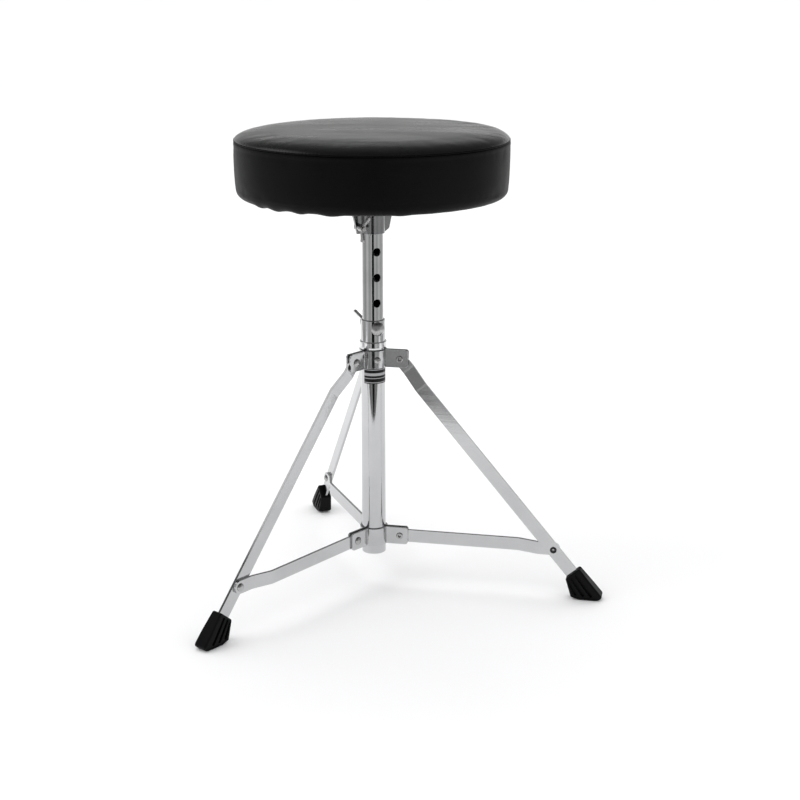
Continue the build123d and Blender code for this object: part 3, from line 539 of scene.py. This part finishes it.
def outline():
    """The cushion's section as (radius, height, kind), from the middle of the top round to under the board and back in over it."""
    pts = []
    n = 74
    for k in range(n + 1):
        t = k / n
        r = SEAT_R * (1 - (1 - t) ** 2.6)
        if k == n:
            break
        pts.append((r, top_height(r), "top"))
    # seam: the two panels turn in and meet
    pts += [
        (SEAT_R - 0.05 * MM, SEAM_Z + 1.35 * MM, "top"),
        (SEAT_R - 0.35 * MM, SEAM_Z + 0.55 * MM, "seam"),
        (SEAT_R - 1.35 * MM, SEAM_Z + 0.10 * MM, "seam"),
        (SEAT_R - 1.40 * MM, SEAM_Z - 0.10 * MM, "seam"),
        (SEAT_R - 0.35 * MM, SEAM_Z - 0.60 * MM, "seam"),
        (SEAT_R + 0.10 * MM, SEAM_Z - 1.30 * MM, "band"),
        (SEAT_R + 0.22 * MM, SEAM_Z - 2.30 * MM, "band"),
        (SEAT_R + 0.22 * MM, SEAM_Z - 3.40 * MM, "band"),
        (SEAT_R + 0.02 * MM, SEAM_Z - 4.30 * MM, "band"),
        (SEAT_R - 0.10 * MM, SEAM_Z - 5.20 * MM, "band"),
    ]
    z_hi, z_lo = SEAM_Z - 6.2 * MM, SEAT_BOTTOM + CORNER
    m = 26
    for k in range(m + 1):
        t = k / m
        z = z_hi + (z_lo - z_hi) * t
        belly = 0.35 * MM * math.sin(math.pi * t)
        pts.append((SEAT_R - 0.12 * MM + (BAND_R - SEAT_R + 0.12 * MM) * t + belly, z, "band"))
    for k in range(1, 13):
        a = math.pi / 2 * k / 12
        pts.append((BAND_R - CORNER + CORNER * math.cos(a), z_lo - CORNER * math.sin(a), "fold"))
    for r in np.linspace(140.6, 119.0, 26):
        pts.append((r * MM, SEAT_BOTTOM, "lip"))
    pts += [(118.4 * MM, SEAT_BOTTOM + 0.25 * MM, "edge"), (118.4 * MM, SEAT_BOTTOM + 1.15 * MM, "edge")]
    b0, b1 = SEAT_BOTTOM + 1.30 * MM, SEAT_BOTTOM + 13.6 * MM
    pts += [(130 * MM, b0, "in"), (143 * MM, b0, "in"), (147.3 * MM, b0 + 1.2 * MM, "in"), (149.6 * MM, b0 + 4.6 * MM, "in"), (150.1 * MM, b0 + 7.5 * MM, "in"), (150.1 * MM, b1, "in"), (120 * MM, b1, "in"), (60 * MM, b1, "in"), (4 * MM, b1, "in")]
    return pts


def lathe(name, pts, segments, shift):
    """A closed skin turned round the tube's axis. shift(point, azimuth) gives the change of radius and height."""
    verts, faces = [], []
    first = pts[0]
    dr, dz = shift(first, 0.0)
    verts.append((AXIS.x, AXIS.y, first[1] + dz))
    for p in pts[1:]:
        for s in range(segments):
            a = 2 * math.pi * s / segments
            dr, dz = shift(p, a)
            r = p[0] + dr
            verts.append((AXIS.x + r * math.cos(a), AXIS.y + r * math.sin(a), p[1] + dz))
    rings = len(pts) - 1
    for s in range(segments):
        faces.append((0, 1 + s, 1 + (s + 1) % segments))
    for k in range(rings - 1):
        a0, b0 = 1 + k * segments, 1 + (k + 1) * segments
        for s in range(segments):
            t = (s + 1) % segments
            faces.append((a0 + s, b0 + s, b0 + t, a0 + t))
    last = 1 + (rings - 1) * segments
    verts.append((AXIS.x, AXIS.y, pts[-1][1]))
    for s in range(segments):
        faces.append((last + s, len(verts) - 1, last + (s + 1) % segments))
    return new_mesh(name, verts, faces)


def simulate_top():
    """Cloth under pressure over the padded body, held at the seam and under the board. Gives (rest surface, list of settled points)."""
    inset = 1.6 * MM
    section = [(0.0, top_height(0) - inset)]
    for t in np.linspace(0.04, 1.0, 46):
        r = (SEAT_R - inset) * (1 - (1 - t) ** 1.8)
        section.append((r, top_height(r / (SEAT_R - inset) * SEAT_R) - inset if t < 1 else SEAM_Z))
    for t in np.linspace(0.08, 1.0, 13):
        section.append((SEAT_R - inset + (BAND_R - SEAT_R) * t, SEAM_Z + (SEAT_BOTTOM + CORNER - SEAM_Z) * t))
    for k in range(1, 5):
        a = math.pi / 2 * k / 4
        section.append((BAND_R - inset - CORNER + CORNER * math.cos(a), SEAT_BOTTOM + inset + CORNER - CORNER * math.sin(a) - inset * (1 - k / 4)))
    section += [(r * MM, SEAT_BOTTOM + inset) for r in (120, 90, 60, 30, 8)]
    body = lathe("sim_body", [(r, z, "") for r, z in section], 96, lambda p, a: (0.0, 0.0))
    rem = body.modifiers.new("remesh", "REMESH")
    rem.mode = "VOXEL"
    rem.voxel_size = 0.0055
    dg = bpy.context.evaluated_depsgraph_get()
    solid = bpy.data.meshes.new_from_object(body.evaluated_get(dg))
    bpy.data.objects.remove(body)
    cloth_ob = bpy.data.objects.new("sim_cloth", solid)
    scene.collection.objects.link(cloth_ob)
    co = np.empty(len(solid.vertices) * 3)
    solid.vertices.foreach_get("co", co)
    rest = co.reshape(-1, 3).copy()
    r = np.hypot(rest[:, 0] - AXIS.x, rest[:, 1] - AXIS.y)
    hold = cloth_ob.vertex_groups.new(name="hold")
    seam = np.abs(rest[:, 2] - SEAM_Z) < 0.0036
    under = (rest[:, 2] < SEAT_BOTTOM + 0.006) & (r < 0.138)
    for i in np.nonzero((seam & (r > 0.140)) | under)[0]:
        hold.add([int(i)], 1.0, "REPLACE")
    mod = cloth_ob.modifiers.new("cloth", "CLOTH")
    st = mod.settings
    st.quality = 6
    st.mass = 0.35
    st.tension_stiffness = st.compression_stiffness = 18
    st.shear_stiffness = 8
    st.bending_stiffness = 0.6
    st.use_pressure = True
    st.uniform_pressure_force = 4.0
    st.shrink_min = -0.012
    st.vertex_group_mass = "hold"
    st.effector_weights.gravity = 0.0
    mod.collision_settings.use_collision = False
    mod.collision_settings.use_self_collision = False
    mod.point_cache.frame_start, mod.point_cache.frame_end = 1, 20
    for f in range(1, 21):
        scene.frame_set(f)
    dg = bpy.context.evaluated_depsgraph_get()
    settled = cloth_ob.evaluated_get(dg).to_mesh()
    co = np.empty(len(settled.vertices) * 3)
    settled.vertices.foreach_get("co", co)
    moved = co.reshape(-1, 3).copy()
    cloth_ob.evaluated_get(dg).to_mesh_clear()
    scene.frame_set(1)
    tree = BVHTree.FromPolygons([tuple(v) for v in rest], [tuple(p.vertices) for p in solid.polygons])
    polys = [tuple(p.vertices) for p in solid.polygons]
    bpy.data.objects.remove(cloth_ob)
    return tree, polys, rest, moved


sim = simulate_top()


def settle(point):
    """How far the simulated cover moved at the nearest place on it: along the radius and up."""
    if sim is None:
        return 0.0, 0.0
    tree, polys, rest, moved = sim
    _, _, face, _ = tree.find_nearest(point)
    ids = polys[face]
    w, d = 0.0, np.zeros(3)
    for i in ids:
        k = 1.0 / (1e-4 + (Vector(rest[i]) - point).length)
        w += k
        d += k * (moved[i] - rest[i])
    d /= w
    flat = Vector((point.x - AXIS.x, point.y - AXIS.y))
    out = flat.normalized() if flat.length > 1e-6 else Vector((1.0, 0.0))
    return float(d[0] * out.x + d[1] * out.y), float(d[2])


# gathers under the seat: azimuth of each fold, its half-width and depth
rng = random.Random(7)
folds = []
az = 0.0
while az < 360.0:
    shown = abs((az - CAM_AZ + 180) % 360 - 180) < 95
    folds.append((az, rng.uniform(2.2, 3.4), rng.uniform(0.25, 0.55) * (0.35 if shown else 1.5)))
    az += rng.uniform(6.5, 10.5)
for off, width, depth in ((-55, 2.9, 2.1), (-44, 3.6, 2.5), (-31.5, 3.0, 2.1), (-17.4, 4.2, 2.2), (12.0, 3.2, 1.0)):
    folds.append(((CAM_AZ + off) % 360, width, depth))


def gather(a_deg):
    total = 0.0
    for c, w, d in folds:
        diff = (a_deg - c + 180) % 360 - 180
        if abs(diff) < w * 2:
            total = max(total, d * (0.5 + 0.5 * math.cos(math.pi * diff / (2 * w))) ** 1.4)
    return total


GATHER = [gather(i * 0.25) for i in range(1440)]


def cover_shift(p, a):
    r, z, kind = p
    if kind == "in":
        return 0.0, 0.0
    c, s = math.cos(a), math.sin(a)
    here = Vector((AXIS.x + r * c, AXIS.y + r * s, z))
    dr, dz = 0.0, 0.0
    deg = math.degrees(a) % 360
    g = GATHER[int(deg * 4) % 1440] * MM
    if kind == "top":
        # slow unevenness of the padding, and shallow drag lines across it
        dz += 0.40 * MM * noise.noise(here * 14.0)
        line = noise.noise(Vector((here.x * 16 + here.y * 4, here.y * 58 - here.x * 14, 3.1)))
        dz += 0.16 * MM * line
        # the padding stands a little fuller at one shoulder
        off = (deg - 38.0 + 180.0) % 360.0 - 180.0
        dz += 1.9 * MM * math.exp(-((off / 40.0) ** 2)) * math.exp(-(((r / SEAT_R - 0.93) / 0.12) ** 2))
        near = max(0.0, (r / SEAT_R - 0.80) / 0.20)
        dz += 0.22 * MM * near * noise.noise(Vector((6.0 * c * 2.4, 6.0 * s * 2.4, 9.0)))
        if r > SEAT_R * 0.97:
            k = min(1.0, (r / SEAT_R - 0.97) / 0.03)
            dr += 0.14 * MM * k * math.sin(a * 230)
    elif kind == "seam":
        dr += 0.16 * MM * math.sin(a * 230)
    elif kind == "band":
        up = (z - SEAT_BOTTOM) / (SEAM_Z - SEAT_BOTTOM)
        dr += 0.30 * MM * noise.noise(Vector((c * 4.2, s * 4.2, z * 20)))
        low = max(0.0, 1 - up * 2.4)
        dr += g * 0.16 * low * low
        if up > 0.93:
            dr += 0.06 * MM * math.sin(a * 230)
    elif kind == "fold":
        k = (SEAT_BOTTOM + CORNER - z) / CORNER
        dz -= g * 0.75 * k ** 1.5
        dr += g * 0.10 * k
    elif kind == "lip":
        k = max(0.0, (r - 0.126) / (0.1406 - 0.126))
        dz -= g * (0.75 * k * k)
        dr += 0.0
    elif kind == "edge":
        dr += 0.9 * MM * noise.noise(Vector((c * 12, s * 12, 1.0)))
    if kind in ("top", "band"):
        mr, mz = settle(here)
        cap = 0.7 * MM
        if kind == "top":
            dz += max(-cap, min(cap, mz * 0.12))
            edge = 1 - (r / SEAT_R) ** 40
            dz *= edge
        else:
            dr += max(-1.0 * MM, min(1.0 * MM, mr * 0.25))
    return dr, dz


cushion = lathe("seat_cushion", outline(), 720, cover_shift)
cushion.data.materials.append(vinyl_top)
cushion.data.materials.append(vinyl_band)
cushion.data.polygons.foreach_set("material_index", [0 if p.center.z > SEAM_Z + 1.6 * MM else 1 for p in cushion.data.polygons])
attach(cushion, "seat")
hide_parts("seat_foam", "cover_top", "cover_band")
